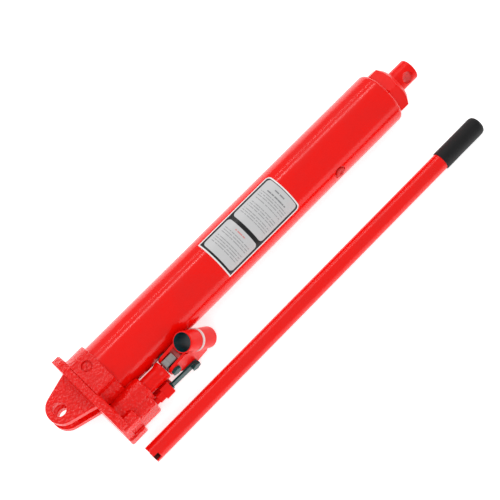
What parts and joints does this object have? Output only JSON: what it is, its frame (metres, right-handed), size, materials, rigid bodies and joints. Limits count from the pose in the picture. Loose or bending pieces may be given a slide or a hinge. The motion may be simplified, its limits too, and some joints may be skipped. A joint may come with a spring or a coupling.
{
  "type": "long ram hydraulic jack",
  "caption": "Red long-ram hydraulic jack with clevis base, side hand pump, cross-drilled ram end and loose notched handle.",
  "frame": {"origin": "centre of the base clevis pin hole, midway between the two ears", "axes": "+Y along the ram from the base clevis to the ram eye, +Z along the clevis pin axis and out of the front of the jack, +X towards the hand pump; the jack lies on its back, floor at Z = -0.038"},
  "size_m": [0.1742, 0.661, 0.0795],
  "materials": {
    "cast_red_paint": "glossy enamel over sand-cast iron, orange-peel and cast pebbling",
    "gloss_red_paint": "smooth glossy red enamel on steel",
    "bright_steel": "ground bare steel",
    "green_chromate": "dark green chromate plating on steel",
    "black_rubber": "black oil-resistant rubber",
    "red_rubber": "red oil-resistant rubber",
    "white_plastic": "white nylon",
    "black_grip": "matte black vinyl sleeve",
    "label_sheet": "printed film, pale grey panels on black with a white border",
    "brass": "plain brass",
    "copper": "soft copper sealing ring"
  },
  "bodies": {
    "frame": {"base_casting": "cast_red_paint", "reservoir_tube": "gloss_red_paint", "top_nut": "gloss_red_paint", "rod_wiper": "black_rubber", "gland_guide": "bright_steel", "gland_o_ring": "black_rubber", "pressure_cylinder": "bright_steel", "pump_cylinder": "cast_red_paint", "plunger_seal": "black_rubber", "link_lower_pin": "green_chromate", "check_balls": "bright_steel", "check_springs": "bright_steel", "delivery_stop": "bright_steel", "passage_plug": "bright_steel", "relief_plug": "cast_red_paint", "relief_spring": "bright_steel", "relief_ball": "bright_steel", "tube_gasket": "black_rubber", "cylinder_gasket": "copper", "suction_strainer": "brass", "label": "label_sheet"},
    "ram_travel": {"piston_cup_seal": "black_rubber"},
    "ram": {"ram_rod": "gloss_red_paint", "piston_head": "bright_steel", "piston_clip": "bright_steel"},
    "plunger": {"pump_plunger": "bright_steel"},
    "link_pair": {"links": "green_chromate", "fulcrum_pin": "green_chromate"},
    "lever": {"lever_fork": "gloss_red_paint", "lever_socket": "gloss_red_paint", "socket_band": "white_plastic", "plunger_pin": "green_chromate"},
    "release_travel": {"release_ball": "bright_steel"},
    "release_screw": {"release_valve": "gloss_red_paint", "release_o_ring": "black_rubber"},
    "filler": {"filler_plug": "red_rubber"},
    "handle": {"handle_tube": "gloss_red_paint", "handle_grip": "black_grip"}
  },
  "joints": [
    {"name": "ram_extend", "type": "slide", "parent": "frame", "child": "ram_travel", "axis": [0, 1, 0], "range_m": [0, 0.48]},
    {"name": "ram_spin", "type": "hinge", "parent": "ram_travel", "child": "ram", "pos_m": [0, 0.3, 0], "axis": [0, 1, 0], "continuous": true},
    {"name": "plunger_stroke", "type": "slide", "parent": "frame", "child": "plunger", "axis": [0, 1, 0], "range_m": [0, 0.0195]},
    {"name": "link_swing", "type": "hinge", "parent": "frame", "child": "link_pair", "pos_m": [0.0535, 0.116, -0.0255], "axis": [-1, 0, 0], "range_deg": [0, 12]},
    {"name": "lever_swing", "type": "hinge", "parent": "link_pair", "child": "lever", "pos_m": [0.0535, 0.1595, -0.028], "axis": [-1, 0, 0], "range_deg": [0, 24.5]},
    {"name": "release_lift", "type": "slide", "parent": "frame", "child": "release_travel", "axis": [0, 1, 0], "range_m": [0, 0.00125]},
    {"name": "release_turn", "type": "hinge", "parent": "release_travel", "child": "release_screw", "pos_m": [0.073, 0.1, -0.0105], "axis": [0, 1, 0], "range_deg": [0, 360]},
    {"name": "filler_pull", "type": "slide", "parent": "frame", "child": "filler", "axis": [0.9781, 0, 0.2079], "range_m": [0, 0.012]},
    {"name": "handle_lift", "type": "slide", "parent": "frame", "child": "handle", "axis": [0, 0, 1], "range_m": [0, 0.3]}
  ],
  "couplings": [
    {"joint": "link_swing", "follows": "lever_swing", "ratio": 0.48},
    {"joint": "plunger_stroke", "follows": "lever_swing", "m_per_rad": 0.04525},
    {"joint": "release_turn", "follows": "release_lift", "rad_per_m": 5026}
  ]
}
